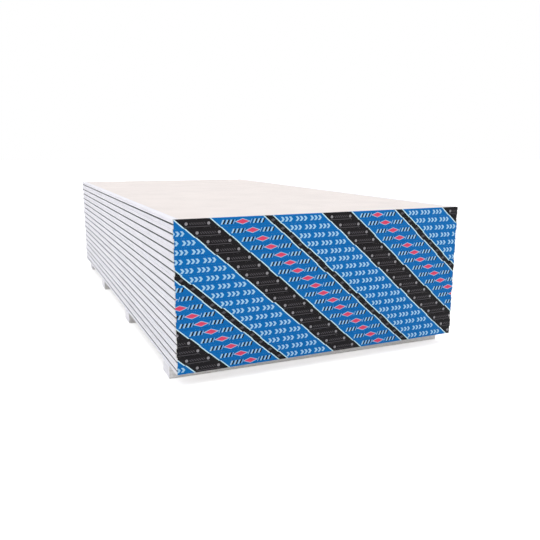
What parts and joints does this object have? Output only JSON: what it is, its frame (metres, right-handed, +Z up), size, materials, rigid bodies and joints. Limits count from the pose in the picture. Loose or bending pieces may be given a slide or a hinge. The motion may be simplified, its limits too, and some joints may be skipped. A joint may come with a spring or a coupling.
{
  "type": "stack of drywall sheets",
  "caption": "Flat pile of gypsum boards laid in face-to-face pairs, each pair bound by a printed paper tape over both ends, standing on crosswise risers of laminated board strip.",
  "frame": {"origin": "on the floor, under the middle of the pile's bounding box", "axes": "+X across the boards, +Y along them with the printed end seen in the picture at -Y, +Z up"},
  "size_m": [1.2266, 2.4408, 0.5978],
  "materials": {
    "board_paper": "matte off-white paper over a gypsum core",
    "end_tape": "printed paper tape, satin, blue with black and white bands",
    "riser_board": "matte paper strips with cut gypsum edges"
  },
  "bodies": {
    "root": {"sheet_01": "board_paper", "sheet_02": "board_paper", "sheet_03": "board_paper", "sheet_04": "board_paper", "sheet_05": "board_paper", "sheet_06": "board_paper", "sheet_07": "board_paper", "sheet_08": "board_paper", "sheet_09": "board_paper", "sheet_10": "board_paper", "sheet_11": "board_paper", "sheet_12": "board_paper", "sheet_13": "board_paper", "sheet_14": "board_paper", "sheet_15": "board_paper", "sheet_16": "board_paper", "sheet_17": "board_paper", "sheet_18": "board_paper", "sheet_19": "board_paper", "sheet_20": "board_paper", "sheet_21": "board_paper", "sheet_22": "board_paper", "sheet_23": "board_paper", "sheet_24": "board_paper", "sheet_25": "board_paper", "sheet_26": "board_paper", "sheet_27": "board_paper", "sheet_28": "board_paper", "sheet_29": "board_paper", "sheet_30": "board_paper", "sheet_31": "board_paper", "sheet_32": "board_paper", "sheet_33": "board_paper", "sheet_34": "board_paper", "end_tapes_01": "end_tape", "end_tapes_02": "end_tape", "end_tapes_03": "end_tape", "end_tapes_04": "end_tape", "end_tapes_05": "end_tape", "end_tapes_06": "end_tape", "end_tapes_07": "end_tape", "end_tapes_08": "end_tape", "end_tapes_09": "end_tape", "end_tapes_10": "end_tape", "end_tapes_11": "end_tape", "end_tapes_12": "end_tape", "end_tapes_13": "end_tape", "end_tapes_14": "end_tape", "end_tapes_15": "end_tape", "end_tapes_16": "end_tape", "end_tapes_17": "end_tape", "riser_1": "riser_board", "riser_2": "riser_board", "riser_3": "riser_board", "riser_4": "riser_board"}
  },
  "joints": []
}
